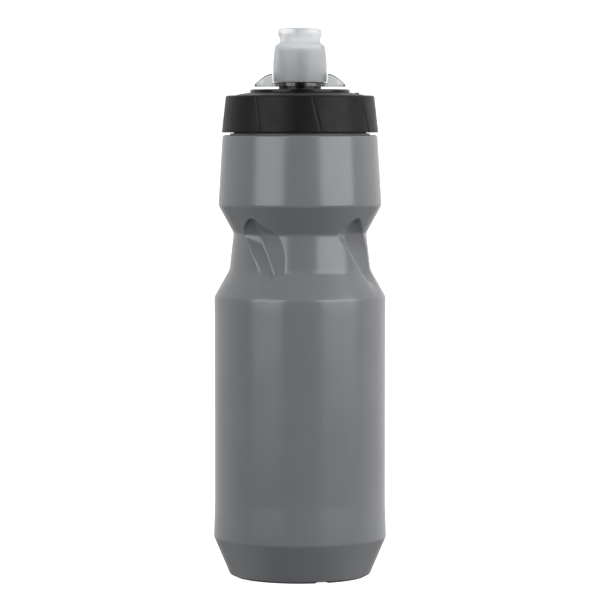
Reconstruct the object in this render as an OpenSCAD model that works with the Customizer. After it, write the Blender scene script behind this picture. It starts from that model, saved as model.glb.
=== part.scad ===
// Sports squeeze bottle: a waisted squeeze body, a screw lid with swept grip panels, and a clear
// quarter-turn nozzle that carries a self-sealing bite valve. Millimetres, +Z up. The origin is the
// centre of the foot ring, on the surface that the bottle stands on. -Y is the front, and angles "from
// the front" are positive towards +X.

/* [Bottle body] */
// Diameter of the lower body, the part that a bottle cage holds
body_d = 73.4; // [72:0.1:74]
// Diameter of the crease above the chamfered base
bulge_d = 74.3; // [74:0.1:75]
// Diameter of the foot ring
foot_d = 57; // [54:0.5:60]
// Smallest diameter of the waist
waist_d = 57; // [55:0.5:59]
// Diameter at the bottom of the upper body
chest_d = 70; // [69:0.5:71]
// Diameter at the top of the upper body
shoulder_d = 66.4; // [66:0.2:68]
// Height of the top of the upper body
shoulder_z = 189.6; // [188:0.1:189.8]
// Thickness of the moulded wall
wall = 1.6; // [1.2:0.1:1.8]
// How deep each scoop cuts into the waist
scoop_depth = 3.1; // [2:0.1:4]
// Number of scoops round the waist
scoops = 4; // [2:1:4]

/* [Neck and thread] */
// Outside diameter of the neck, without its thread
neck_d = 56.8; // [56:0.1:57]
// Diameter over the thread on the neck
thread_d = 59.6; // [59:0.1:59.7]
// Rise of the thread in one turn
thread_lead = 6; // [5.5:0.1:6.5]
// Number of turns of thread
thread_turns = 1.25; // [1:0.05:1.3]
// Height of the neck above the shoulder
neck_h = 13.8; // [13.6:0.1:13.9]

/* [Lid] */
// Diameter of the lid at its lower edge
lid_low_d = 67.3; // [67:0.1:68]
// Diameter of the lid at its upper edge
lid_top_d = 63.8; // [63.6:0.1:65]
// Height of the lid's side
lid_h = 15.8; // [15.6:0.1:16]
// Number of grip panels round the lid
panels = 8; // [6:1:12]
// How deep the edge of a grip panel is
panel_step = 0.4; // [0.2:0.05:0.5]
// How far round a panel's edge leans over the lid's height, in degrees
panel_sweep = 6.5; // [0:0.5:12]
// Diameter of the disc that carries the spout
disc_d = 42.7; // [42:0.1:43.4]

/* [Nozzle] */
// Distance from tip to tip of the two wings
wing_span = 39.1; // [36:0.1:40]
// Thickness of a wing
wing_w = 9; // [6:0.5:11]
// How far the nozzle drops as it is locked
dial_drop = 1.1; // [0.8:0.1:1.1]

/* [Bite valve] */
// Largest diameter of the bite valve
valve_d = 23; // [22.6:0.1:24]
// Diameter of the lip
lip_d = 18.8; // [17.5:0.1:19]
// Length of each cut of the cross-shaped slit
slit = 6; // [4:0.5:8]

/* [Hidden] */
$fn = 96;

// Heights on the bottle, from the foot up
bulge_z = 16.9;
body_top_z = 120.3;
waist_low_z = 132;
waist_low_r = 30.3;
waist_high_z = 147.6;
chest_z = 159.6;
lip_z = shoulder_z + 1.1;      // lower edge of the lid
neck_top_z = shoulder_z + neck_h;
lid_top_z = lip_z + lid_h;
disc_z = lid_top_z + 1.3;      // underside of the spout's disc
disc_top_z = disc_z + 1.3;
dial_z = disc_top_z + 1.2;     // lower face of the raised nozzle
valve_z = dial_z + 1.9;        // lower edge of the bite valve

neck_r = neck_d / 2;
neck_wall = 1.9;
neck_bore_r = neck_r - neck_wall;
thread_gap = 0.3;
thread_half = 0.9;             // half the height of a thread at its root
lid_bore_r = thread_d / 2 + thread_gap;
thread_z = shoulder_z + 3.1;   // where the neck's thread starts

plate_z = lid_top_z - 2;       // underside of the lid's top
hub_hole_r = 19.5;
collar_r = 9.1;
collar_bore_r = 7.3;
collar_low_z = lip_z + 5.8;
collar_top_z = disc_top_z + 2.6;
stem_r = 7.2;
stem_bore_r = 5.4;
pin_r = 4.4;
cam_lead = dial_drop * 4;      // the nozzle drops by dial_drop in a quarter turn
cam_z = collar_low_z + 7;
cam_half_turn = 9;             // half of a cam lug's length, in degrees
nozzle_r = 9.9;
nozzle_top_z = valve_z + 14.2;
seat_gap = dial_drop + 0.1;

// A scoop's outline on the waist, from its foot to its top. Each row: height, left and right edge as
// angles from the front, and how much of the scoop's depth is cut there.
scoop_rows = [
    [128.2, -20, -17.5, 0],
    [128.7, -23.6, -15.4, 0.55],
    [129.6, -26.8, -13.5, 1],
    [132.5, -33.5, -11.7, 1],
    [137.7, -40.8, -12, 1],
    [142.9, -49, -14.4, 1],
    [147.6, -55.6, -20, 1],
    [150.6, -51.2, -28.8, 1],
    [153.6, -43.6, -36.4, 1],
    [154.4, -41.5, -39, 0]
];
// The crease where a scoop's two walls meet leans to the left as it rises
crease_z = 148;
crease_x = -16.9;
crease_lean = 0.35;
// It lies deepest at facet_z, and comes forward below and above that
facet_z = 147;
facet_lean = 0.55;
facet_lean_high = 0.6;
facet_limit = 25.9;
facet_turn = 0.36;             // how fast the left facet falls back towards its left edge
facet_front = sqrt(pow(waist_d / 2 - scoop_depth, 2) - pow(crease_x, 2));

// ---- helpers ----

// A point at radius r, seen from above, at an angle from the front
function spot(r, at) = [r * sin(at), -r * cos(at)];

// The points of an outline with the corner at each point rounded to the radius in its third value
function rounded(outline, steps = 4) = [
    for (i = [0 : len(outline) - 1])
        let (
            here = [outline[i][0], outline[i][1]],
            r = len(outline[i]) > 2 ? outline[i][2] : 0,
            before = outline[(i + len(outline) - 1) % len(outline)],
            after = outline[(i + 1) % len(outline)],
            u = ([before[0], before[1]] - here) / norm([before[0], before[1]] - here),
            v = ([after[0], after[1]] - here) / norm([after[0], after[1]] - here),
            half = acos(u * v) / 2,
            middle = r == 0 ? here : here + (u + v) / norm(u + v) * r / sin(half),
            from_dir = here + u * r / tan(half) - middle,
            to_dir = here + v * r / tan(half) - middle
        )
        each r == 0 ? [here] : [
            for (k = [0 : steps])
                let (mix = from_dir * (1 - k / steps) + to_dir * (k / steps))
                middle + mix / norm(mix) * r
        ]
];

// A closed solid through rings of equally many points
module loft(rings) {
    n = len(rings[0]);
    last = len(rings) - 1;
    sides = [
        for (i = [0 : last - 1], j = [0 : n - 1])
            let (k = (j + 1) % n, a = i * n, b = a + n)
            each [[a + j, a + k, b + k], [a + j, b + k, b + j]]
    ];
    start = [for (j = [1 : n - 2]) [0, j + 1, j]];
    finish = [for (j = [1 : n - 2]) [last * n, last * n + j, last * n + j + 1]];
    polyhedron(points = [for (ring = rings) each ring], faces = concat(start, sides, finish), convexity = 6);
}

// A helical bar from angle a0 to a1 about Z. Its section is a trapezium between two radii, and the
// free side (outer when out is true, or else the inner) sinks to the root at both ends.
module helix_bar(r_in, r_out, half_in, half_out, a0, a1, z0, lead, out = true, fade = 4) {
    steps = max(4, ceil((a1 - a0) / 15));
    loft([
        for (i = [0 : steps])
            let (
                a = a0 + (a1 - a0) * i / steps,
                z = z0 + lead * (a - a0) / 360,
                full = fade == 0 ? 1 : min(1, (i + 0.6) / fade, (steps - i + 0.6) / fade),
                inner = out ? r_in : r_out + (r_in - r_out) * full,
                outer = out ? r_in + (r_out - r_in) * full : r_out
            )
            [
                [inner * cos(a), inner * sin(a), z - half_in],
                [outer * cos(a), outer * sin(a), z - half_out],
                [outer * cos(a), outer * sin(a), z + half_out],
                [inner * cos(a), inner * sin(a), z + half_in]
            ]
    ]);
}

// The bottle's radius at a height on the waist or the cones below and above it, without their rounding
function waist_radius(z) = lookup(z, [
    [body_top_z, body_d / 2 + 0.1], [waist_low_z, waist_low_r],
    [waist_high_z, waist_d / 2], [chest_z, chest_d / 2]
]);

// ---- bottle ----

// Outline of the bottle, moved in by t, from the axis at the foot to the axis at the neck
function body_outline(t) = [
    [0, 3.4 + t],
    [22, 3 + t, 2],
    [foot_d / 2 - 3.4 + t / 2, t, 0.5],
    [foot_d / 2 - t, t, 0.8],
    [foot_d / 2 + 1.9 - t, t + 1, 0.8],
    [bulge_d / 2 - t, bulge_z, 2.5],
    [body_d / 2 - t, bulge_z + 16, 30],
    [body_d / 2 - t, body_top_z - 14, 30],
    [body_d / 2 + 0.1 - t, body_top_z, 3.2],
    [waist_low_r - t, waist_low_z, 7],
    [waist_d / 2 - t, waist_high_z, 3],
    [chest_d / 2 - t, chest_z, 2.8],
    [shoulder_d / 2 - t, shoulder_z - t, t == 0 ? 1 : 0.5]
];

// Where a scoop's crease lies at a height, seen from above
function crease(z) =
    let (lean = z < facet_z ? facet_lean : facet_lean_high)
    [
        crease_x - crease_lean * (z - crease_z),
        -min(facet_limit, facet_front - 1 + norm([lean * (z - facet_z), 1]))
    ];

// A scoop's section, seen from above: its left edge, the foot of that edge's wall, the crease, the right edge
// and two points clear of the bottle. The edges stand a little proud, so that they cut the surface cleanly.
function scoop_section(row) =
    let (
        clear = 7,
        proud = 0.04,
        r = waist_radius(row[0]) + proud,
        left = spot(r, row[1]),
        right = spot(r, row[2]),
        low = crease(row[0]),
        under = row[0] < crease_z + 1 ? left + (low - left) * 0.15
            : [left.x + 0.2, max(left.y, low.y + facet_turn * (low.x - left.x))],
        surface = spot(r, (row[1] + row[2]) / 2)
    )
    [
        left,
        left + (under - left) * max(row[3], 0.05),
        surface + (low - surface) * max(row[3], 0.02),
        right,
        right + spot(clear, row[2]),
        left + spot(clear, row[1])
    ];

// The section of the wall behind a scoop: its walls moved in by t, and out of the way where the scoop ends
function behind_section(row, z, t) =
    let (
        clear = 60,
        low = crease(z),
        slope = spot(waist_radius(z), row[2]) - low,
        shift = [0.72, 0.7] * t * 1.1 + spot(9 * (1 - row[3]), -45),
        facet_y = low.y + 5 * facet_turn + t * 1.1 + spot(9 * (1 - row[3]), -45).y,
        corner = low + shift + slope * (facet_y - low.y - shift.y) / slope.y
    )
    [[-clear, facet_y], corner, corner + slope * 2.5, [clear / 4, -clear], [-clear, -clear]];

// One scoop as a solid. With t it is the space that a wall of thickness t takes up behind the scoop.
module scoop(t = 0) {
    middle_z = 141;
    loft([
        for (row = scoop_rows)
            let (z = middle_z + (row[0] - middle_z) * (1 + 0.085 * t))
            [for (p = t == 0 ? scoop_section(row) : behind_section(row, z, t)) [p.x, p.y, z]]
    ]);
}

module scoop_ring(t = 0) {
    for (k = [0 : scoops - 1]) rotate([0, 0, k * 360 / scoops]) scoop(t);
}

module bottle() color([0.45, 0.455, 0.46]) {
    vents = 4;
    vent_at = 19;
    vent_w = 5;
    vent_h = 0.5;
    rim_r = neck_r + 1.6;       // the ledge at the neck's foot
    difference() {
        union() {
            rotate_extrude() polygon(rounded(concat(
                body_outline(0),
                [[rim_r, shoulder_z], [rim_r, lip_z - 0.3], [neck_r, lip_z - 0.3],
                 [neck_r, neck_top_z, 0.5], [0, neck_top_z]]
            )));
            helix_bar(neck_r - 0.6, thread_d / 2, thread_half + 0.1, thread_half / 2, 0, 360 * thread_turns,
                      thread_z, thread_lead);
        }
        scoop_ring();
        // cavity and mouth
        difference() {
            rotate_extrude() polygon(rounded(concat(
                body_outline(wall),
                [[neck_bore_r, shoulder_z - wall, 1], [neck_bore_r, neck_top_z + 1], [0, neck_top_z + 1]]
            )));
            scoop_ring(wall);
        }
        // shallow vents across the foot ring
        for (k = [0 : vents - 1])
            rotate([0, 0, vent_at - 90 + k * 360 / vents])
                translate([foot_d / 2 - 6, -vent_w / 2, vent_h - 2]) cube([10, vent_w, 2]);
    }
}

// ---- lid ----

// Outline of the lid seen from above, with a shallow groove before each panel's raised edge
function panel_outline(r) = [
    for (k = [0 : panels - 1])
        let (pitch = 360 / panels, groove = 1.6)
        each concat(
            [for (i = [0 : 8])
                let (a = k * pitch + (pitch - groove) * i / 8)
                [(r - panel_step * 0.3 * i / 8) * cos(a), (r - panel_step * 0.3 * i / 8) * sin(a)]],
            [[(r - panel_step) * cos((k + 1) * pitch - 0.3), (r - panel_step) * sin((k + 1) * pitch - 0.3)]]
        )
];

module lid_shell() color([0.16, 0.16, 0.165]) {
    first_edge = -32.2 - 90;
    crown_r = 28.4;
    mark_r = 24.4;              // a dot marks the open position, and a bar the locked one
    mark_h = 1.25;
    bar = [4, 1, mark_h - 0.05];
    difference() {
        union() {
            intersection() {
                translate([0, 0, lip_z]) rotate([0, 0, first_edge + panel_sweep / 2])
                    linear_extrude(height = lid_h + 0.5, twist = panel_sweep, slices = 6,
                                   scale = lid_top_d / lid_low_d) polygon(panel_outline(lid_low_d / 2));
                rotate_extrude() polygon(rounded([
                    [0, lip_z], [lid_low_d / 2 + 0.1, lip_z, 0.4], [lid_top_d / 2 + 0.05, lid_top_z, 1.1],
                    [0, lid_top_z]
                ]));
            }
            // crown that carries the spout's disc
            rotate_extrude() polygon([
                [0, lid_top_z - 1], [crown_r, lid_top_z - 1], [crown_r, lid_top_z],
                [crown_r - 2.4, lid_top_z + 0.55], [crown_r - 4.8, lid_top_z + 1],
                [disc_d / 2 + 0.2, disc_z - 0.02], [0, disc_z - 0.02]
            ]);
            translate([mark_r, 0, lid_top_z]) cylinder(r = 0.9, h = mark_h);
            translate([-bar.x / 2, -mark_r - bar.y / 2, lid_top_z]) cube(bar);
        }
        translate([0, 0, lip_z - 1]) cylinder(r = lid_bore_r, h = plate_z - lip_z + 1);
        translate([0, 0, lip_z]) cylinder(r = hub_hole_r, h = 20);
    }
    // the thread lies just under the neck's, and starts a quarter turn later to clear the shoulder
    thread_below = 2 * thread_half + thread_gap;
    helix_bar(neck_r + 0.35, lid_bore_r + 0.4, thread_half / 2, thread_half + 0.1, 90, 90 + 360 * thread_turns,
              thread_z - thread_below + thread_lead / 4, thread_lead, out = false);
}

module lid_gasket() color([0.75, 0.75, 0.73]) {
    inner = neck_bore_r - 0.2;
    outer = neck_r + 0.6;
    edge = 0.2;
    rotate_extrude() polygon(rounded([
        [inner, neck_top_z + 0.04, edge], [outer, neck_top_z + 0.04, edge],
        [outer, plate_z - 0.02, edge], [inner, plate_z - 0.02, edge]
    ]));
}

// ---- spout ----

// One cam track, or the lug that runs in it
module cam_bar(r_in, r_out, half, a0, a1) {
    helix_bar(r_in, r_out, half, half, a0, a1, cam_z + cam_lead * a0 / 360, cam_lead, fade = 0);
}

module spout_base() color([0.13, 0.13, 0.135]) {
    bead_z = plate_z - 0.1;     // the bead that snaps under the lid's top
    spider_w = 1.6;
    spider_h = 2.4;
    tip_z = nozzle_top_z - 1.2 - seat_gap;
    difference() {
        rotate_extrude() polygon([
            [collar_bore_r, collar_low_z], [collar_r, collar_low_z], [collar_r, disc_z - 2.2],
            [hub_hole_r - 2.2, disc_z - 2.2], [hub_hole_r - 2.2, bead_z - 1.4],
            [hub_hole_r - 0.1, bead_z - 1.4],
            [hub_hole_r + 0.4, bead_z - 0.9], [hub_hole_r + 0.4, bead_z - 0.4], [hub_hole_r - 0.1, bead_z],
            [hub_hole_r - 0.1, disc_z], [disc_d / 2, disc_z], [disc_d / 2, disc_z + 0.4],
            [disc_d / 2 - 0.5, disc_top_z], [collar_r, disc_top_z], [collar_r, collar_top_z - 0.4],
            [collar_r - 0.4, collar_top_z], [collar_bore_r, collar_top_z]
        ]);
        for (side = [0, 180]) rotate([0, 0, side])
            cam_bar(collar_bore_r - 1, collar_bore_r + 0.95, 1.15, -92 - cam_half_turn, cam_half_turn + 2);
    }
    // fixed pin that closes the nozzle, held by a spider
    rotate_extrude() polygon([
        [0, collar_low_z], [pin_r, collar_low_z], [pin_r, tip_z - 1.56], [2.6, tip_z], [0, tip_z]
    ]);
    for (k = [0 : 2]) rotate([0, 0, k * 120]) translate([pin_r - 0.5, -spider_w / 2, collar_low_z])
        cube([collar_bore_r - pin_r + 0.8, spider_w, spider_h]);
}

// ---- nozzle ----

module nozzle_o_ring() color([0.1, 0.1, 0.1]) {
    translate([0, 0, dial_z - 2.2]) rotate_extrude($fn = 48) translate([6.75, 0]) circle(r = 0.5, $fn = 24);
}

// One wing, towards +X
module wing() {
    tip = wing_span / 2;
    inner = valve_d / 2 + 0.3;
    intersection() {
        translate([0, wing_w, 0]) rotate([90, 0, 0]) linear_extrude(wing_w * 2) polygon(concat(
            [[10.2, dial_z], [tip - 0.4, dial_z], [tip, dial_z + 0.5], [tip, dial_z + 1]],
            [for (k = [1 : 6]) let (s = k / 6) [tip - (tip - inner) * s, dial_z + 1 + 4.6 * sin(85 * s)]],
            [[inner, valve_z - 0.2], [10.2, valve_z - 0.2]]
        ));
        translate([0, 0, dial_z - 1]) linear_extrude(10) polygon(concat(
            [[0, -wing_w / 2], [0, wing_w / 2]],
            [for (a = [75 : -15 : -75]) [tip - 5 + 5 * cos(a), (wing_w / 2 - 0.6) * sin(a)]]
        ));
    }
}

module lock_dial() color([0.85, 0.87, 0.88, 0.6]) {
    stem_low_z = collar_low_z + 3.8;
    web_z = collar_top_z + seat_gap;
    groove_z = dial_z - 2.9;    // the o-ring's groove
    groove_r = stem_r - 1;
    groove_h = 1.4;
    top_z = nozzle_top_z;
    rotate_extrude() polygon([
        [stem_bore_r, stem_low_z], [stem_r, stem_low_z], [stem_r, groove_z], [groove_r, groove_z],
        [groove_r, groove_z + groove_h], [stem_r, groove_z + groove_h], [stem_r, web_z],
        [collar_r + 0.3, web_z], [collar_r + 0.3, dial_z], [nozzle_r + 1, dial_z],
        [nozzle_r + 1, valve_z - 0.2], [nozzle_r, valve_z - 0.2], [nozzle_r, top_z - 4.4],
        [nozzle_r - 0.7, top_z - 0.5], [nozzle_r - 1.2, top_z], [2.4, top_z], [2.4, top_z - 1],
        [5, top_z - 3.25], [5, top_z - 3.8], [5.8, top_z - 3.8], [5.8, top_z - 1.2],
        [nozzle_r - 1.5, top_z - 1.6], [nozzle_r - 1.5, web_z + 1.4], [stem_bore_r, web_z + 1.4]
    ]);
    for (side = [0, 180]) rotate([0, 0, side]) {
        wing();
        cam_bar(stem_r - 0.6, collar_bore_r + 0.7, 1, -cam_half_turn, cam_half_turn);
    }
}

module bite_valve() color([0.87, 0.88, 0.88, 0.9]) {
    r = valve_d / 2;
    lip_r = lip_d / 2;
    z = valve_z;
    slit_w = 0.12;
    difference() {
        rotate_extrude() polygon(rounded([
            [nozzle_r + 0.03, z], [r - 0.3, z], [r - 0.1, z + 0.4], [r, z + 4], [r - 0.1, z + 8.8],
            [r - 0.4, z + 12], [r - 0.9, z + 15.5, 1.1],
            [lip_r - 0.9, z + 17.1, 0.9], [lip_r - 1.1, z + 18.9, 0.8],
            [lip_r, z + 20.6, 0.8], [lip_r - 0.1, z + 22.6, 0.5], [lip_r - 0.8, z + 23.1, 0.4], [0, z + 22.7],
            [0, z + 20.9], [4.8, z + 20.9], [5.4, z + 17, 1], [8.8, z + 14.5, 0.8],
            [nozzle_r - 0.6, z + 13.8], [nozzle_r + 0.03, z + 9.7]
        ]));
        for (a = [45, 135]) rotate([0, 0, a])
            translate([-slit / 2, -slit_w / 2, z + 19]) cube([slit, slit_w, 6]);
    }
}

bottle();
lid_shell();
lid_gasket();
spout_base();
nozzle_o_ring();
lock_dial();
bite_valve();
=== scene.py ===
"""Looks for the sports squeeze bottle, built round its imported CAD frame. Metres, +Z up, -Y is the front."""

import functools
import math

import bmesh
import bpy
import numpy as np
from mathutils import Matrix, Vector


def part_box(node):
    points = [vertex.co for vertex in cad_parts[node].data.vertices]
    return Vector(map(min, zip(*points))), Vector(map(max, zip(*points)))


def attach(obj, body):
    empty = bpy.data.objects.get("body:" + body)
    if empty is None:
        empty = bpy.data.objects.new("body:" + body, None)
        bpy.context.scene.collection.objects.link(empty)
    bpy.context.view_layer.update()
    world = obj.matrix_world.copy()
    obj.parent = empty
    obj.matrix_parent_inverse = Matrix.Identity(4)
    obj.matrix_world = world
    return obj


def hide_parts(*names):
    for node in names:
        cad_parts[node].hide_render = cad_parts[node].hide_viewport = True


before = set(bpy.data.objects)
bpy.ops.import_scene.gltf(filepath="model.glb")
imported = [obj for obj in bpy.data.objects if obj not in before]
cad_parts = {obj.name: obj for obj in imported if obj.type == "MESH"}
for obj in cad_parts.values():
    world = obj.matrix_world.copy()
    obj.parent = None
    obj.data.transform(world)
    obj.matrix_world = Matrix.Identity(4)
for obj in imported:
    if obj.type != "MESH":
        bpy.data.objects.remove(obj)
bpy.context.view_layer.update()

MM = 0.001
TURN = 2 * math.pi

# ---- sizes that the frame gives, in millimetres ----


def top(node):
    """The height of a CAD node's highest point."""
    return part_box(node)[1].z / MM


def bottom(node):
    """The height of a CAD node's lowest point."""
    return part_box(node)[0].z / MM


def radius(node):
    """Half of a CAD node's width along X."""
    low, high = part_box(node)
    return (high.x - low.x) / 2 / MM


NECK_TOP = top("bottle")
SHOULDER_Z = NECK_TOP - 13.8
LIP_Z = SHOULDER_Z + 1.1
LID_TOP = LIP_Z + 15.8
DISC_Z = LID_TOP + 1.3
DISC_TOP = DISC_Z + 1.3
DIAL_Z = DISC_TOP + 1.2
VALVE_Z = DIAL_Z + 1.9
NOZZLE_TOP = VALVE_Z + 14.2
PLATE_Z = LID_TOP - 2

BULGE_R = radius("bottle")
BODY_R = 36.7
WAIST_R = 28.5
CHEST_R = 35.0
SHOULDER_R = 33.2
FOOT_R = 28.5
WALL = 1.6
BULGE_Z = 16.9
BODY_TOP_Z = 120.3
WAIST_LOW_R = 30.3
WAIST_LOW_Z = 132.0
WAIST_Z = 146.3
CHEST_Z = 159.6

NECK_R = 28.4
NECK_BORE_R = 26.5
THREAD_R = 29.8
THREAD_LEAD = 6.0
THREAD_TURNS = 1.25
THREAD_HALF = 0.9
THREAD_GAP = 0.3
THREAD_Z = SHOULDER_Z + 3.1

LID_LOW_R = 33.65
LID_TOP_R = 31.9
LID_BORE_R = THREAD_R + THREAD_GAP
PANELS = 8
PANEL_STEP = 0.42
PANEL_SWEEP = 6.6
FIRST_EDGE = -32.2
HUB_HOLE_R = 19.5
DISC_R = radius("spout_base")

COLLAR_R = 9.1
COLLAR_BORE_R = 7.3
COLLAR_LOW = bottom("spout_base")
COLLAR_TOP = DISC_TOP + 2.6
STEM_R = 7.2
STEM_BORE_R = 5.4
PIN_R = 4.4
SEAT_GAP = 1.2
NOZZLE_R = 9.9
VALVE_R = radius("bite_valve")
LIP_R = 9.4
SLIT = 6.0

# ---- outlines and meshes ----


def rounded(outline, steps=5):
    """The points of a closed outline with each corner rounded to the radius in its third value."""
    points = []
    for i, corner in enumerate(outline):
        here = Vector(corner[:2])
        size = corner[2] if len(corner) > 2 else 0
        if size == 0:
            points.append(here)
            continue
        u = (Vector(outline[i - 1][:2]) - here).normalized()
        v = (Vector(outline[(i + 1) % len(outline)][:2]) - here).normalized()
        half = u.angle(v) / 2
        middle = here + (u + v).normalized() * (size / math.sin(half))
        start = here + u * (size / math.tan(half)) - middle
        finish = here + v * (size / math.tan(half)) - middle
        for k in range(steps + 1):
            points.append(middle + start.lerp(finish, k / steps).normalized() * size)
    return points


def refined(outline, spacing):
    """The same closed outline with points no further apart than spacing(point)."""
    points = []
    for i, here in enumerate(outline):
        after = outline[(i + 1) % len(outline)]
        steps = max(1, math.ceil((after - here).length / spacing((here + after) / 2)))
        points += [here.lerp(after, k / steps) for k in range(steps)]
    return points


def new_object(name, bm):
    """An object with smooth faces from a bmesh in millimetres."""
    bmesh.ops.scale(bm, vec=(MM, MM, MM), verts=bm.verts)
    bmesh.ops.recalc_face_normals(bm, faces=bm.faces)
    mesh = bpy.data.meshes.new(name)
    bm.to_mesh(mesh)
    bm.free()
    mesh.shade_smooth()
    piece = bpy.data.objects.new(name, mesh)
    bpy.context.scene.collection.objects.link(piece)
    return piece


def spin(name, outline, segments=192, shape=None):
    """A solid of revolution from a closed outline of (radius, height). shape(r, z, angle) gives each point
    its own radius, height and angle, with the angle from the front, positive towards +X."""
    bm = bmesh.new()
    rings = []
    for r, z in outline:
        if r < 1e-6:
            rings.append([bm.verts.new((0, 0, z))] * segments)
            continue
        ring = []
        for k in range(segments):
            at = TURN * k / segments
            rr, zz, turned = shape(r, z, at) if shape else (r, z, at)
            ring.append(bm.verts.new((rr * math.sin(turned), -rr * math.cos(turned), zz)))
        rings.append(ring)
    for i, ring in enumerate(rings):
        after = rings[(i + 1) % len(rings)]
        for k in range(segments):
            n = (k + 1) % segments
            corners = list(dict.fromkeys([ring[k], ring[n], after[n], after[k]]))
            if len(corners) > 2:
                bm.faces.new(corners)
    return new_object(name, bm)


def sharpen(piece, angle=30):
    """Marks the edges sharper than the angle, so that shading breaks there."""
    mesh = piece.data
    mesh.set_sharp_from_angle(angle=math.radians(angle))


def helix_bar(bm, r_in, r_out, half_in, half_out, start, sweep, z0, lead, outward=True, fade=30):
    """A helical bar of trapezium section in a bmesh. Its free side sinks at both ends over fade degrees."""
    steps = max(8, math.ceil(sweep / 4))
    rings = []
    for i in range(steps + 1):
        turned = sweep * i / steps
        a = math.radians(start + turned)
        z = z0 + lead * turned / 360
        full = 1.0
        if fade:
            edge = min(turned, sweep - turned) / fade
            full = math.sin(min(1.0, edge) * math.pi / 2) * 0.94 + 0.06
        inner = r_in if outward else r_out + (r_in - r_out) * full
        outer = r_in + (r_out - r_in) * full if outward else r_out
        section = [(inner, -half_in), (outer, -half_out), (outer, half_out), (inner, half_in)]
        rings.append([bm.verts.new((r * math.cos(a), r * math.sin(a), z + dz)) for r, dz in section])
    for lower, upper in zip(rings, rings[1:]):
        for j in range(4):
            k = (j + 1) % 4
            bm.faces.new((lower[j], lower[k], upper[k], upper[j]))
    bm.faces.new(rings[0])
    bm.faces.new(rings[-1])


def bar_object(name, *bars):
    """An object made of helical bars, each a dict of helix_bar's arguments."""
    bm = bmesh.new()
    for bar in bars:
        helix_bar(bm, **bar)
    return new_object(name, bm)


def bevelled(piece, width, segments=2, angle=35):
    """Rounds the edges sharper than the angle to a radius given in millimetres."""
    bevel = piece.modifiers.new("edges", "BEVEL")
    bevel.width = width * MM
    bevel.segments = segments
    bevel.limit_method = "ANGLE"
    bevel.angle_limit = math.radians(angle)
    bevel.harden_normals = True
    return piece


# ---- the bottle ----

# A scoop's outline on the outside of the waist, from its foot to its top: height, left and right edge in
# degrees from the front, and how much of the scoop's depth is cut there
SCOOP = [
    (128.2, -20.5, -17.0, 0.0),
    (128.5, -23.4, -15.2, 0.65),
    (129.0, -25.8, -14.0, 1.0),
    (132.5, -33.5, -11.7, 1.0),
    (137.7, -40.8, -12.0, 1.0),
    (142.9, -49.0, -14.4, 1.0),
    (147.6, -55.6, -20.0, 1.0),
    (150.6, -51.2, -28.8, 1.0),
    (153.6, -43.6, -36.4, 1.0),
    (154.4, -41.5, -39.0, 0.0),
]
SCOOP_HEIGHTS = [row[0] for row in SCOOP]
SCOOPS = 4
SCOOP_MIDDLE = -35.0
# Offsets in degrees and in height, with their weights, that round the scoops' edges
SOFTEN_ROUND = ((-1.2, 0.12), (-0.6, 0.23), (0, 0.3), (0.6, 0.23), (1.2, 0.12))
SOFTEN_UP = ((-0.2, 0.25), (0, 0.5), (0.2, 0.25))

# The crease where a scoop's two walls meet leans to the left as it rises
CREASE_Z = 148.0
CREASE_X = -16.9
CREASE_LEAN = 0.35
# It lies deepest at FACET_Z, and comes forward below and above that
FACET_Z = 147.0
FACET_FRONT = 18.8
FACET_LEAN = 0.7
FACET_LEAN_HIGH = 1.05
FACET_BEND = 4.0
FACET_LIMIT = 25.9
FACET_TURN = 0.36


def curve_through(xs, ys, x):
    """A smooth curve through points with rising xs, which doesn't overshoot them."""
    slopes = [(ys[i + 1] - ys[i]) / (xs[i + 1] - xs[i]) for i in range(len(xs) - 1)]
    tangents = [slopes[0]]
    for a, b in zip(slopes, slopes[1:]):
        tangents.append(0.0 if a * b <= 0 else 2 * a * b / (a + b))
    tangents.append(slopes[-1])
    i = min(len(xs) - 2, max(0, int(np.searchsorted(xs, x)) - 1))
    width = xs[i + 1] - xs[i]
    t = (x - xs[i]) / width
    start = (2 * t**3 - 3 * t**2 + 1) * ys[i] + (t**3 - 2 * t**2 + t) * width * tangents[i]
    finish = (3 * t**2 - 2 * t**3) * ys[i + 1] + (t**3 - t**2) * width * tangents[i + 1]
    return start + finish


def soft_min(a, b, blend):
    """The smaller of two numbers, with the change from one to the other rounded off."""
    return (a + b - math.hypot(a - b, blend)) / 2


def smooth_step(x):
    """0 below 0, 1 above 1 and a smooth rise between."""
    x = min(1.0, max(0.0, x))
    return x * x * (3 - 2 * x)


def facet_front(z):
    """How far in front of the axis a scoop's crease lies: least a little above the waist."""
    lean = FACET_LEAN if z < FACET_Z else FACET_LEAN_HIGH
    bend = math.hypot(lean * (z - FACET_Z), FACET_BEND) - FACET_BEND
    return soft_min(FACET_FRONT + bend, FACET_LIMIT, 1.0)


def crease(z):
    """Where a scoop's two walls meet: sideways and in front of the axis."""
    return Vector((CREASE_X - CREASE_LEAN * (z - CREASE_Z), facet_front(z)))


def on_circle(r, degrees):
    """The point at an angle from the front: sideways and in front of the axis."""
    return Vector((r * math.sin(math.radians(degrees)), r * math.cos(math.radians(degrees))))


@functools.lru_cache(maxsize=None)
def scoop_section(z):
    """A scoop's section at a height: its edges in degrees, share of the depth, corners and their distances
    along the section."""
    left, right, share = (curve_through(SCOOP_HEIGHTS, [row[k] for row in SCOOP], z) for k in (1, 2, 3))
    first, low, last = on_circle(outer_radius(z), left), crease(z), on_circle(outer_radius(z), right)
    behind = Vector((first.x + 0.2, min(first.y, low.y - FACET_TURN * (low.x - first.x))))
    under = first.lerp(low, 0.15).lerp(behind, smooth_step((z - CREASE_Z + 0.5) / 2.5))
    corners = [first, under, low, last]
    marks = [0.0]
    for here, after in zip(corners, corners[1:]):
        marks.append(marks[-1] + (after - here).length)
    return left, right, share, corners, marks


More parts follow.
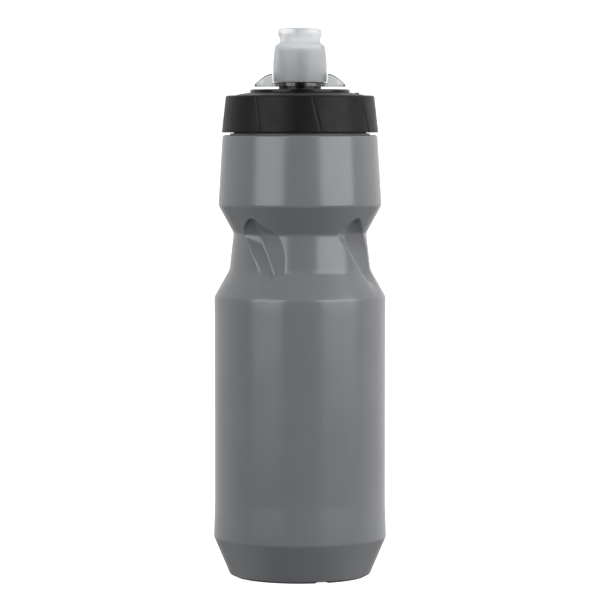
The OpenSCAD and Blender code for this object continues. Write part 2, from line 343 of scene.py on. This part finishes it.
def scoop_shift(at, z):
    """How far a scoop moves the waist's surface at an angle in degrees and a height."""
    if not SCOOP_HEIGHTS[0] < z < SCOOP_HEIGHTS[-1]:
        return Vector((0, 0))
    left, right, share, corners, marks = scoop_section(z)
    if not left < at < right:
        return Vector((0, 0))
    along = (at - left) / (right - left) * marks[-1]
    i = 0
    while marks[i + 1] < along:
        i += 1
    point = corners[i].lerp(corners[i + 1], (along - marks[i]) / (marks[i + 1] - marks[i]))
    return (point - on_circle(outer_radius(z), at)) * share


def first_scoop_angle(degrees):
    """An angle from the front turned by whole pitches, so that it lies about the first scoop."""
    pitch = 360 / SCOOPS
    return (degrees - SCOOP_MIDDLE + pitch / 2) % pitch - pitch / 2 + SCOOP_MIDDLE


def scooped(r, z, at):
    """The radius and angle on the outside of the waist where its scoops have been taken off. Averaging over
    a small patch rounds the scoops' edges."""
    degrees = math.degrees(at)
    local = first_scoop_angle(degrees)
    moved = on_circle(r, local)
    for da, across in SOFTEN_ROUND:
        for dz, along in SOFTEN_UP:
            moved += scoop_shift(local + da, round(z + dz, 3)) * across * along
    return moved.length, math.atan2(moved.x, moved.y) + math.radians(degrees - local)


def wall_radius(a, b, at):
    """The radius, at an angle in radians, of the straight line through two points."""
    nx, ny = b.y - a.y, a.x - b.x
    reach = nx * a.x + ny * a.y
    along = nx * math.sin(at) + ny * math.cos(at)
    return reach / along if abs(along) > 1e-6 and reach / along > 0 else 1e3


def scooped_inside(r, z, at):
    """The radius of the waist's inner wall, which follows the scoops at the wall's thickness and runs a
    little past their ends."""
    middle, growth, beside = 141.0, 1.136, 85
    zz = middle + (z - middle) / growth
    if not SCOOP_HEIGHTS[0] < zz < SCOOP_HEIGHTS[-1]:
        return r
    local = first_scoop_angle(math.degrees(at))
    right = curve_through(SCOOP_HEIGHTS, [row[2] for row in SCOOP], zz)
    share = curve_through(SCOOP_HEIGHTS, [row[3] for row in SCOOP], zz)
    thick = WALL * 1.1
    inward = Vector((0.72, -0.7)) * thick
    here = math.radians(local)
    facet = (facet_front(z) - 5 * FACET_TURN - thick) / math.cos(here) if abs(local) < beside else 1e3
    low, edge = crease(z) + inward, on_circle(r + WALL, right) + inward
    return r + (min(r, max(facet, wall_radius(low, edge, here))) - r) * share


def body_outline(t):
    """The bottle's outline moved in by t, from the axis at the foot to the shoulder."""
    return [
        (0, 3.4 + t),
        (22, 3 + t, 2),
        (FOOT_R - 3.4 + t / 2, t, 0.5),
        (FOOT_R - t, t, 0.8),
        (FOOT_R + 1.9 - t, t + 1, 0.8),
        (BULGE_R - t + 0.05, BULGE_Z, 2.5),
        (BODY_R - t, BULGE_Z + 16, 30),
        (BODY_R - t, BODY_TOP_Z - 14, 30),
        (BODY_R + 0.1 - t, BODY_TOP_Z, 3.2),
        (WAIST_LOW_R - t, WAIST_LOW_Z, 7),
        (WAIST_R - t, WAIST_Z + 1.3, 3),
        (CHEST_R - t, CHEST_Z, 2.8),
        (SHOULDER_R - t, SHOULDER_Z - t, 0.5 if t else 1),
    ]


def vented(r, z, at):
    """The foot ring with four shallow vents across it."""
    if z > 2 or not 20 < r < 31:
        return r, z, at
    pitch, first, half, slope, depth = 90.0, 19, 6.2, 1.6, 0.55
    away = abs((math.degrees(at) - first + pitch / 2) % pitch - pitch / 2)
    return r, max(z, depth * smooth_step((half - away) / slope)), at


def bottle_shape(r, z, at):
    """Scoops on the outside and the inside of the waist, and vents in the foot."""
    if not 124 < z < 160:
        return vented(r, z, at)
    if r < outer_radius(z) - WALL / 2:
        return scooped_inside(r, z, at), z, at
    r, at = scooped(r, z, at)
    return r, z, at


@functools.lru_cache(maxsize=1)
def waist_profile():
    """The heights and radii of the bottle's outside between the lower and the upper body."""
    points = [p for p in rounded(body_outline(0)) if 110 < p.y < 175 and p.x > 20]
    return [p.y for p in points], [p.x for p in points]


@functools.lru_cache(maxsize=None)
def outer_radius(z):
    """The bottle's outer radius at a height between the lower body and the upper body."""
    return float(np.interp(z, *waist_profile()))


def bottle_spacing(p):
    """How far apart the outline's points may be: close on the waist, where the scoops are."""
    if 126 < p.y < 157 and p.x > outer_radius(p.y) - WALL / 2:
        return 0.35
    if 126 < p.y < 157:
        return 1.2
    return 6.0


def make_bottle():
    outside = body_outline(0) + [
        (NECK_R + 1.6, SHOULDER_Z, 0.3),
        (NECK_R + 1.6, LIP_Z - 0.3, 0.3),
        (NECK_R, LIP_Z - 0.3, 0.3),
        (NECK_R, NECK_TOP, 0.5),
        (NECK_BORE_R, NECK_TOP, 0.4),
    ]
    inside = body_outline(WALL) + [(NECK_BORE_R, SHOULDER_Z - WALL, 1)]
    outline = refined(rounded(outside + inside[::-1]), bottle_spacing)
    piece = spin("bottle_body", outline, segments=512, shape=bottle_shape)
    thread = bar_object("neck_thread", dict(
        r_in=NECK_R - 0.3, r_out=THREAD_R, half_in=THREAD_HALF + 0.1, half_out=0.45, start=0,
        sweep=360 * THREAD_TURNS, z0=THREAD_Z, lead=THREAD_LEAD,
    ))
    bevelled(thread, 0.2)
    return piece, thread


# ---- the lid ----


def grip(z):
    """How much of the grip panels' relief shows at a height on the lid's side."""
    return smooth_step((LID_TOP - 0.2 - z) / 1.4)


def panelled(r, z, at):
    """The lid's side: each panel falls slowly, then quickly, and ends at the next one's slanted edge."""
    if r < LID_BORE_R + 0.5 or z > LID_TOP - 0.05:
        return r, z, at
    pitch, slow_fall = 360 / PANELS, 0.3
    lean = PANEL_SWEEP * ((LIP_Z + LID_TOP) / 2 - z) / (LID_TOP - LIP_Z)
    along = (math.degrees(at) - FIRST_EDGE - lean) % pitch
    ramp_start, ramp_end = pitch - 1.5, pitch - 0.45
    if along < ramp_start:
        drop = slow_fall * along / ramp_start
    elif along < ramp_end:
        drop = slow_fall + (1 - slow_fall) * (along - ramp_start) / (ramp_end - ramp_start)
    else:
        drop = (pitch - along) / (pitch - ramp_end)
    return r - PANEL_STEP * drop * grip(z), z, at


def make_lid():
    outline = rounded([
        (LID_BORE_R, LIP_Z, 0.25), (LID_LOW_R, LIP_Z, 0.4), (LID_TOP_R, LID_TOP, 1.1), (28.4, LID_TOP, 0.6),
        (26, LID_TOP + 0.55, 3), (DISC_R + 0.2, DISC_Z - 0.02, 0.2), (HUB_HOLE_R, DISC_Z - 0.02, 0.2),
        (HUB_HOLE_R, PLATE_Z, 0.2), (LID_BORE_R, PLATE_Z, 0.6),
    ])
    outline = refined(outline, lambda p: 0.8 if p.x > LID_BORE_R + 0.5 and p.y < LID_TOP - 0.5 else 4.0)
    shell = spin("lid_side_and_crown", outline, segments=800, shape=panelled)
    sharpen(shell, 40)
    below = 2 * THREAD_HALF + THREAD_GAP
    thread = bar_object("lid_thread", dict(
        r_in=NECK_R + 0.35, r_out=LID_BORE_R + 0.3, half_in=0.45, half_out=THREAD_HALF + 0.1,
        start=90, sweep=360 * THREAD_TURNS, z0=THREAD_Z - below + THREAD_LEAD / 4, lead=THREAD_LEAD,
        outward=False,
    ))
    bevelled(thread, 0.2)
    return shell, thread


def make_marks():
    """The raised dot and bar that show where the wing points when open and when locked."""
    dot_r = 24.4
    dot = spin("open_mark", rounded([
        (0, LID_TOP + 0.4), (0.9, LID_TOP + 0.4), (0.9, LID_TOP + 1.25, 0.25), (0, LID_TOP + 1.3),
    ], 3), segments=32)
    dot.data.transform(Matrix.Translation((dot_r * MM, 0, 0)))
    bm = bmesh.new()
    bmesh.ops.create_cube(bm, size=1)
    bmesh.ops.scale(bm, vec=(4, 1, 1), verts=bm.verts)
    bmesh.ops.translate(bm, vec=(0, -dot_r, LID_TOP + 0.7), verts=bm.verts)
    bar = bevelled(new_object("locked_mark", bm), 0.25, 3)
    return dot, bar


def make_gasket():
    return spin("sealing_ring", rounded([
        (NECK_BORE_R - 0.2, NECK_TOP + 0.04, 0.3), (NECK_R + 0.6, NECK_TOP + 0.04, 0.3),
        (NECK_R + 0.6, PLATE_Z - 0.02, 0.3), (NECK_BORE_R - 0.2, PLATE_Z - 0.02, 0.3),
    ]), segments=160)


# ---- the spout ----


def make_spout():
    bead = PLATE_Z - 0.1
    hub = HUB_HOLE_R
    disc = spin("spout_disc", rounded([
        (COLLAR_BORE_R, COLLAR_LOW, 0.2), (COLLAR_R, COLLAR_LOW, 0.3), (COLLAR_R, DISC_Z - 2.2, 0.5),
        (hub - 2.2, DISC_Z - 2.2, 0.5), (hub - 2.2, bead - 1.4, 0.2), (hub - 0.1, bead - 1.4, 0.2),
        (hub + 0.4, bead - 0.9), (hub + 0.4, bead - 0.4, 0.1), (hub - 0.1, bead), (hub - 0.1, DISC_Z),
        (DISC_R, DISC_Z, 0.15), (DISC_R, DISC_TOP, 0.3),
        (COLLAR_R, DISC_TOP, 0.3), (COLLAR_R, COLLAR_TOP, 0.4), (COLLAR_BORE_R, COLLAR_TOP, 0.2),
    ]), segments=256)
    tip = NOZZLE_TOP - 1.2 - SEAT_GAP
    pin = spin("closing_pin", rounded([
        (0, COLLAR_LOW), (PIN_R, COLLAR_LOW, 0.3), (PIN_R, tip - 1.56, 0.5), (2.6, tip, 0.4), (0, tip),
    ]), segments=96)
    bm = bmesh.new()
    for k in range(3):
        arm = bmesh.ops.create_cube(bm, size=1)["verts"]
        bmesh.ops.scale(bm, vec=(COLLAR_BORE_R - PIN_R + 0.8, 1.6, 2.4), verts=arm)
        bmesh.ops.translate(bm, vec=((COLLAR_BORE_R + PIN_R) / 2 - 0.1, 0, COLLAR_LOW + 1.2), verts=arm)
        turn = Matrix.Rotation(TURN * k / 3, 3, "Z")
        bmesh.ops.rotate(bm, cent=(0, 0, 0), matrix=turn, verts=arm)
    spider = bevelled(new_object("pin_spider", bm), 0.25, 3)
    return disc, pin, spider


# ---- the nozzle ----


WING_RISE = 0.25   # over this reach a wing rises beside the valve's skirt


def wing_section(reach, tip, inner):
    """A wing's rounded section across its reach, as points (across, up) from the dial's lower face."""
    half_width, tip_r, root_high = 4.5, 5.0, 1.7
    beyond = min(0.999, max(0.0, (reach - (tip - tip_r)) / tip_r))
    half = half_width * math.sqrt(1 - beyond**2)
    back = 1 + 4.6 * math.sin(math.radians(85 * min(1.0, (tip - reach) / (tip - inner))))
    high = root_high + (back - root_high) * smooth_step((reach - inner) / WING_RISE)
    corner = min(1.0, 0.46 * high, 0.9 * half)
    return rounded([(half, 0, corner), (half, high, corner), (-half, high, corner), (-half, 0, corner)], 5)


def make_wing(name, side):
    """One wing: a clear pod with a curved back, a flat lower face and rounded edges."""
    tip, inner, root = radius("lock_dial"), VALVE_R + 0.15, 10.8
    reaches = [root, inner - 0.02] + [inner + WING_RISE * k / 5 for k in range(6)]
    steps, risen = 24, inner + WING_RISE
    reaches += [risen + (tip - risen) * math.sin(math.pi / 2 * k / steps) for k in range(1, steps + 1)]
    bm = bmesh.new()
    grid = []
    for reach in reaches:
        section = wing_section(reach, tip, inner)
        grid.append([bm.verts.new((side * reach, side * p.x, DIAL_Z + p.y)) for p in section])
    count = len(grid[0])
    for lower, upper in zip(grid, grid[1:]):
        for j in range(count):
            k = (j + 1) % count
            bm.faces.new((lower[j], lower[k], upper[k], upper[j]))
    bm.faces.new(grid[0])
    bm.faces.new(grid[-1])
    return new_object(name, bm)


def make_dial():
    groove = DIAL_Z - 2.9
    web = COLLAR_TOP + SEAT_GAP
    top_z = NOZZLE_TOP
    return spin("nozzle_tube", rounded([
        (STEM_BORE_R, bottom("lock_dial"), 0.2), (STEM_R, bottom("lock_dial"), 0.3), (STEM_R, groove, 0.1),
        (6.2, groove, 0.2), (6.2, groove + 1.4, 0.2), (STEM_R, groove + 1.4, 0.1), (STEM_R, web, 0.3),
        (COLLAR_R + 0.3, web, 0.3), (COLLAR_R + 0.3, DIAL_Z, 0.25), (10.9, DIAL_Z, 0.25),
        (10.9, VALVE_Z - 0.2, 0.25), (NOZZLE_R, VALVE_Z - 0.2), (NOZZLE_R, top_z - 4.4, 3),
        (NOZZLE_R - 0.7, top_z - 0.4, 0.3), (NOZZLE_R - 1.1, top_z, 0.3), (2.4, top_z, 0.2),
        (2.4, top_z - 1, 0.1), (5, top_z - 3.25, 0.2), (5, top_z - 3.8, 0.1), (5.8, top_z - 3.8, 0.2),
        (5.8, top_z - 1.2, 0.3), (8.4, top_z - 1.6, 0.8), (8.4, web + 1.4, 0.6),
        (STEM_BORE_R, web + 1.4, 0.3),
    ]), segments=160)


def make_o_ring():
    centre_r, cord = 6.75, 0.5
    circle = [Vector((centre_r + cord * math.cos(a), DIAL_Z - 2.2 + cord * math.sin(a)))
              for a in (TURN * k / 20 for k in range(20))]
    return spin("stem_seal", circle, segments=96)


def make_valve():
    r, z = VALVE_R, VALVE_Z
    outline = rounded([
        (NOZZLE_R + 0.15, z, 0.15), (r - 0.3, z, 0.2), (r - 0.1, z + 0.5), (r, z + 4, 12),
        (r - 0.1, z + 8.8, 12), (r - 0.4, z + 12, 8), (r - 0.9, z + 15.6, 1.1),
        (LIP_R - 0.9, z + 17.1, 0.8), (LIP_R - 0.7, z + 18.7, 3), (LIP_R, z + 20.7, 1.2),
        (LIP_R - 0.2, z + 22.7, 1), (LIP_R - 1.3, z + 23.1, 0.8), (0, z + 22.7), (0, z + 20.9),
        (4.8, z + 20.9, 0.4), (5.4, z + 17, 1), (8.8, z + 14.5, 0.8),
        (NOZZLE_R - 0.4, z + 14.3), (NOZZLE_R + 0.15, z + 9.9),
    ], 6)
    skin = spin("bite_valve_skin", outline, segments=160)
    cut_cross(skin, SLIT, 0.14, z + 22.7)
    return skin


def cut_cross(piece, length, width, z):
    """Cuts a cross-shaped slit right through the lip's centre."""
    bm = bmesh.new()
    for turned in (TURN / 8, TURN * 3 / 8):
        bar = bmesh.ops.create_cube(bm, size=1)["verts"]
        bmesh.ops.scale(bm, vec=(length, width, 6), verts=bar)
        bmesh.ops.rotate(bm, cent=(0, 0, 0), matrix=Matrix.Rotation(turned, 3, "Z"), verts=bar)
        bmesh.ops.translate(bm, vec=(0, 0, z), verts=bar)
    cutter = new_object("slit_cutter", bm)
    cut = piece.modifiers.new("slit", "BOOLEAN")
    cut.operation = "DIFFERENCE"
    cut.solver = "EXACT"
    cut.use_self = True
    cut.object = cutter
    whole = piece.evaluated_get(bpy.context.evaluated_depsgraph_get())
    mesh = bpy.data.meshes.new_from_object(whole)
    piece.modifiers.remove(cut)
    piece.data = mesh
    bpy.data.objects.remove(cutter)


# ---- materials ----


class Nodes:
    """A material's node tree, with a short way to add and join nodes."""

    def __init__(self, name):
        self.material = bpy.data.materials.new(name)
        self.material.use_nodes = True
        self.tree = self.material.node_tree
        self.shader = self.tree.nodes["Principled BSDF"]

    def add(self, kind, **settings):
        node = self.tree.nodes.new("ShaderNode" + kind)
        for key, value in settings.items():
            setattr(node, key, value)
        return node

    def join(self, source, target):
        self.tree.links.new(source, target)

    def noise(self, scale, detail, stretch=(1, 1, 1)):
        """Noise in object space. scale is in waves a metre."""
        place = self.add("TexCoord")
        spread = self.add("Mapping")
        spread.inputs["Scale"].default_value = stretch
        noise = self.add("TexNoise")
        noise.inputs["Scale"].default_value = scale
        noise.inputs["Detail"].default_value = detail
        noise.inputs["Roughness"].default_value = 0.55
        self.join(place.outputs["Object"], spread.inputs["Vector"])
        self.join(spread.outputs["Vector"], noise.inputs["Vector"])
        return noise.outputs["Fac"]

    def ramp(self, source, low, high, start=0.3, finish=0.7):
        """A value or colour that goes from low to high as the source goes from start to finish."""
        if isinstance(low, tuple):
            ramp = self.add("ValToRGB")
            ramp.color_ramp.elements[0].position = start
            ramp.color_ramp.elements[1].position = finish
            ramp.color_ramp.elements[0].color = (*low, 1)
            ramp.color_ramp.elements[1].color = (*high, 1)
            self.join(source, ramp.inputs["Fac"])
            return ramp.outputs["Color"]
        ramp = self.add("MapRange")
        for key, value in (("From Min", start), ("From Max", finish), ("To Min", low), ("To Max", high)):
            ramp.inputs[key].default_value = value
        self.join(source, ramp.inputs["Value"])
        return ramp.outputs["Result"]

    def bump(self, source, depth, before=None):
        """Bump of a depth in metres."""
        bump = self.add("Bump")
        bump.inputs["Distance"].default_value = depth
        bump.inputs["Strength"].default_value = 1.0
        self.join(source, bump.inputs["Height"])
        if before is not None:
            self.join(before, bump.inputs["Normal"])
        return bump.outputs["Normal"]

    def colour(self, source, low, high):
        self.join(self.ramp(source, low, high), self.shader.inputs["Base Color"])

    def roughness(self, source, low, high):
        self.join(self.ramp(source, low, high), self.shader.inputs["Roughness"])

    def relief(self, bump):
        self.join(bump, self.shader.inputs["Normal"])

    def scatter(self, weight, scale):
        """Light that scatters under the surface, evenly for all colours."""
        self.set(Subsurface_Weight=weight, Subsurface_Scale=scale)
        self.shader.inputs["Subsurface Radius"].default_value = (1.0, 1.0, 1.0)

    def set(self, **values):
        """Sets the shader's own sockets, with _ for each space in a name."""
        for key, value in values.items():
            self.shader.inputs[key.replace("_", " ")].default_value = value


def body_plastic():
    """Soft squeeze-grade polyethylene: satin, faintly cloudy, with a very fine moulded skin."""
    m = Nodes("squeeze_polyethylene")
    cloud = m.noise(28, 3)
    m.colour(cloud, (0.166, 0.173, 0.183), (0.181, 0.188, 0.198))
    smear = m.noise(60, 4, stretch=(1, 1, 0.35))
    m.roughness(smear, 0.2, 0.26)
    grain = m.bump(m.noise(2600, 2), 0.000012)
    swell = m.bump(m.noise(34, 2, stretch=(1, 1, 0.6)), 0.00018, before=grain)
    m.relief(swell)
    m.set(IOR=1.5)
    m.scatter(0.12, 0.003)
    return m.material


def lid_plastic():
    """Satin black polypropylene with a fine spark-eroded grain and slight rub marks."""
    m = Nodes("black_polypropylene")
    m.colour(m.noise(40, 3), (0.007, 0.007, 0.0075), (0.011, 0.011, 0.0115))
    m.roughness(m.noise(180, 5), 0.34, 0.46)
    m.relief(m.bump(m.noise(3200, 3), 0.00002))
    m.set(IOR=1.49, Specular_IOR_Level=0.15)
    return m.material


def spout_plastic():
    """The same black plastic with a smoother face."""
    m = Nodes("smooth_black_polypropylene")
    m.colour(m.noise(70, 3), (0.006, 0.006, 0.0065), (0.01, 0.01, 0.0105))
    m.roughness(m.noise(240, 4), 0.19, 0.26)
    m.relief(m.bump(m.noise(1800, 2), 0.000008))
    m.set(IOR=1.49, Specular_IOR_Level=0.25)
    return m.material


def seal_rubber(name, dark, light):
    """Soft rubber with a dull, slightly uneven skin."""
    m = Nodes(name)
    m.colour(m.noise(150, 3), dark, light)
    m.roughness(m.noise(400, 3), 0.5, 0.65)
    m.relief(m.bump(m.noise(2000, 2), 0.00001))
    return m.material


def clear_plastic():
    """Clear copolyester with faint flow lines."""
    m = Nodes("clear_copolyester")
    m.colour(m.noise(90, 2), (0.4, 0.415, 0.42), (0.45, 0.465, 0.47))
    m.roughness(m.noise(200, 3), 0.14, 0.2)
    m.relief(m.bump(m.noise(300, 2), 0.00001))
    m.set(IOR=1.5, Transmission_Weight=1.0)
    return m.material


def valve_silicone():
    """Soft frosted silicone that lets some light through."""
    m = Nodes("frosted_silicone")
    m.colour(m.noise(60, 3), (0.86, 0.88, 0.895), (0.9, 0.915, 0.925))
    m.roughness(m.noise(160, 3), 0.4, 0.47)
    m.relief(m.bump(m.noise(1500, 2), 0.000012))
    m.set(IOR=1.41, Specular_IOR_Level=0.3, Transmission_Weight=0.78)
    m.scatter(0.3, 0.002)
    return m.material


def white_floor():
    """Plain paper, lit so that it stays white to the camera."""
    m = Nodes("pale_floor")
    m.colour(m.noise(2, 2), (0.88, 0.88, 0.88), (0.9, 0.9, 0.9))
    m.roughness(m.noise(5, 2), 0.5, 0.6)
    m.set(Emission_Strength=0.9)
    m.shader.inputs["Emission Color"].default_value = (1, 1, 1, 1)
    return m.material


# ---- camera, lights and floor ----


def add_camera():
    camera = bpy.data.cameras.new("camera")
    camera.sensor_width = 36
    camera.lens = 188.9
    camera.clip_start = 0.05
    camera.clip_end = 20
    holder = bpy.data.objects.new("camera", camera)
    holder.location = (0, -1.352, 0.1926)
    holder.rotation_euler = (math.radians(90 - 3.126), 0, 0)
    bpy.context.scene.collection.objects.link(holder)
    bpy.context.scene.camera = holder


def add_softbox(name, azimuth, distance, height, width, tall, power, aim=0.11):
    """A rectangular light at an azimuth from the front, positive towards +X, aimed at the object."""
    light = bpy.data.lights.new(name, "AREA")
    light.shape = "RECTANGLE"
    light.size = width
    light.size_y = tall
    light.energy = power
    holder = bpy.data.objects.new(name, light)
    at = math.radians(azimuth)
    holder.location = (distance * math.sin(at), -distance * math.cos(at), height)
    toward = Vector((0, 0, aim)) - holder.location
    holder.rotation_euler = toward.to_track_quat("-Z", "Y").to_euler()
    bpy.context.scene.collection.objects.link(holder)


def add_floor():
    """A pale floor that sweeps up into a backdrop far behind the object."""
    bm = bmesh.new()
    half, back, rise, bend = 3.0, 2.2, 2.5, 0.6
    profile = [(-2.5, 0.0)]
    for k in range(13):
        a = math.radians(90 * k / 12)
        profile.append((back - bend + bend * math.sin(a), bend - bend * math.cos(a)))
    profile.append((back, rise))
    rows = [[bm.verts.new((x, y, z)) for x in (-half, half)] for y, z in profile]
    for near, far in zip(rows, rows[1:]):
        bm.faces.new((near[0], near[1], far[1], far[0]))
    mesh = bpy.data.meshes.new("floor")
    bm.to_mesh(mesh)
    bm.free()
    mesh.shade_smooth()
    floor = bpy.data.objects.new("floor", mesh)
    bpy.context.scene.collection.objects.link(floor)
    floor.data.materials.append(white_floor())
    floor.visible_diffuse = False
    floor.visible_glossy = False


def add_world():
    """A studio: bright behind and above, dim in front and below, a glow low at the sides, and plain white to
    the camera."""
    world = bpy.data.worlds.new("studio")
    world.use_nodes = True
    tree = world.node_tree
    shown = tree.nodes["Background"]

    def add(kind, **settings):
        node = tree.nodes.new("ShaderNode" + kind)
        for key, value in settings.items():
            setattr(node, key, value)
        return node

    def level(source, start, finish, low, high):
        node = add("MapRange", interpolation_type="SMOOTHSTEP")
        for key, value in (("From Min", start), ("From Max", finish), ("To Min", low), ("To Max", high)):
            node.inputs[key].default_value = value
        tree.links.new(source, node.inputs["Value"])
        return node.outputs["Result"]

    def combine(operation, first, second=None):
        node = add("Math", operation=operation)
        tree.links.new(first, node.inputs[0])
        if second:
            tree.links.new(second, node.inputs[1])
        return node.outputs["Value"]

    split = add("SeparateXYZ")
    tree.links.new(add("TexCoord").outputs["Generated"], split.inputs["Vector"])
    behind = level(split.outputs["Y"], -0.6, 0.45, 0.05, 1.0)
    above = level(split.outputs["Z"], -0.45, -0.05, 0.1, 1.0)
    beside = level(split.outputs["X"], -1.0, 1.0, 0.82, 1.08)
    aside = level(combine("ABSOLUTE", split.outputs["X"]), 0.3, 0.85, 0.0, 0.42)
    low = level(split.outputs["Z"], -0.5, -0.15, 1.0, 0.0)
    glow = combine("MULTIPLY", aside, low)
    room = combine("ADD", combine("MULTIPLY", combine("MULTIPLY", behind, above), beside), glow)
    pick = add("Mix", data_type="FLOAT")
    tree.links.new(add("LightPath").outputs["Is Camera Ray"], pick.inputs["Factor"])
    tree.links.new(room, pick.inputs["A"])
    pick.inputs["B"].default_value = 1.0
    shown.inputs["Color"].default_value = (1, 1, 1, 1)
    tree.links.new(pick.outputs["Result"], shown.inputs["Strength"])
    bpy.context.scene.world = world


# ---- assembly ----


def dress(pieces, body, material, slot, *nodes):
    """Gives pieces a material, lets them ride on a body and hides the CAD nodes they stand for."""
    for piece in pieces:
        piece.data.materials.append(material)
        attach(piece, body)
        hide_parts(*nodes)


def main():
    bpy.context.scene.view_settings.view_transform = "Standard"
    add_camera()
    add_world()
    add_floor()
    add_softbox("left_softbox", -45, 1.3, 0.56, 1.1, 1.12, 13)
    add_softbox("right_softbox", 55, 1.3, 0.56, 1.35, 1.12, 17.5)

    dress(make_bottle(), "bottle", body_plastic(), "body_plastic", "bottle")
    dress(make_lid() + make_marks(), "lid", lid_plastic(), "lid_plastic", "lid_shell")
    dress([make_gasket()], "lid_carrier",
          seal_rubber("pale_seal_rubber", (0.5, 0.5, 0.48), (0.6, 0.6, 0.58)), "gasket_rubber", "lid_gasket")
    dress(make_spout(), "lid", spout_plastic(), "spout_plastic", "spout_base")
    dress([make_o_ring()], "nozzle_carrier",
          seal_rubber("black_seal_rubber", (0.015, 0.015, 0.015), (0.03, 0.03, 0.03)), "o_ring_rubber",
          "nozzle_o_ring")
    dress([make_dial(), make_wing("right_wing", 1), make_wing("left_wing", -1)], "nozzle", clear_plastic(),
          "clear_plastic", "lock_dial")
    dress([make_valve()], "nozzle", valve_silicone(), "valve_silicone", "bite_valve")


main()
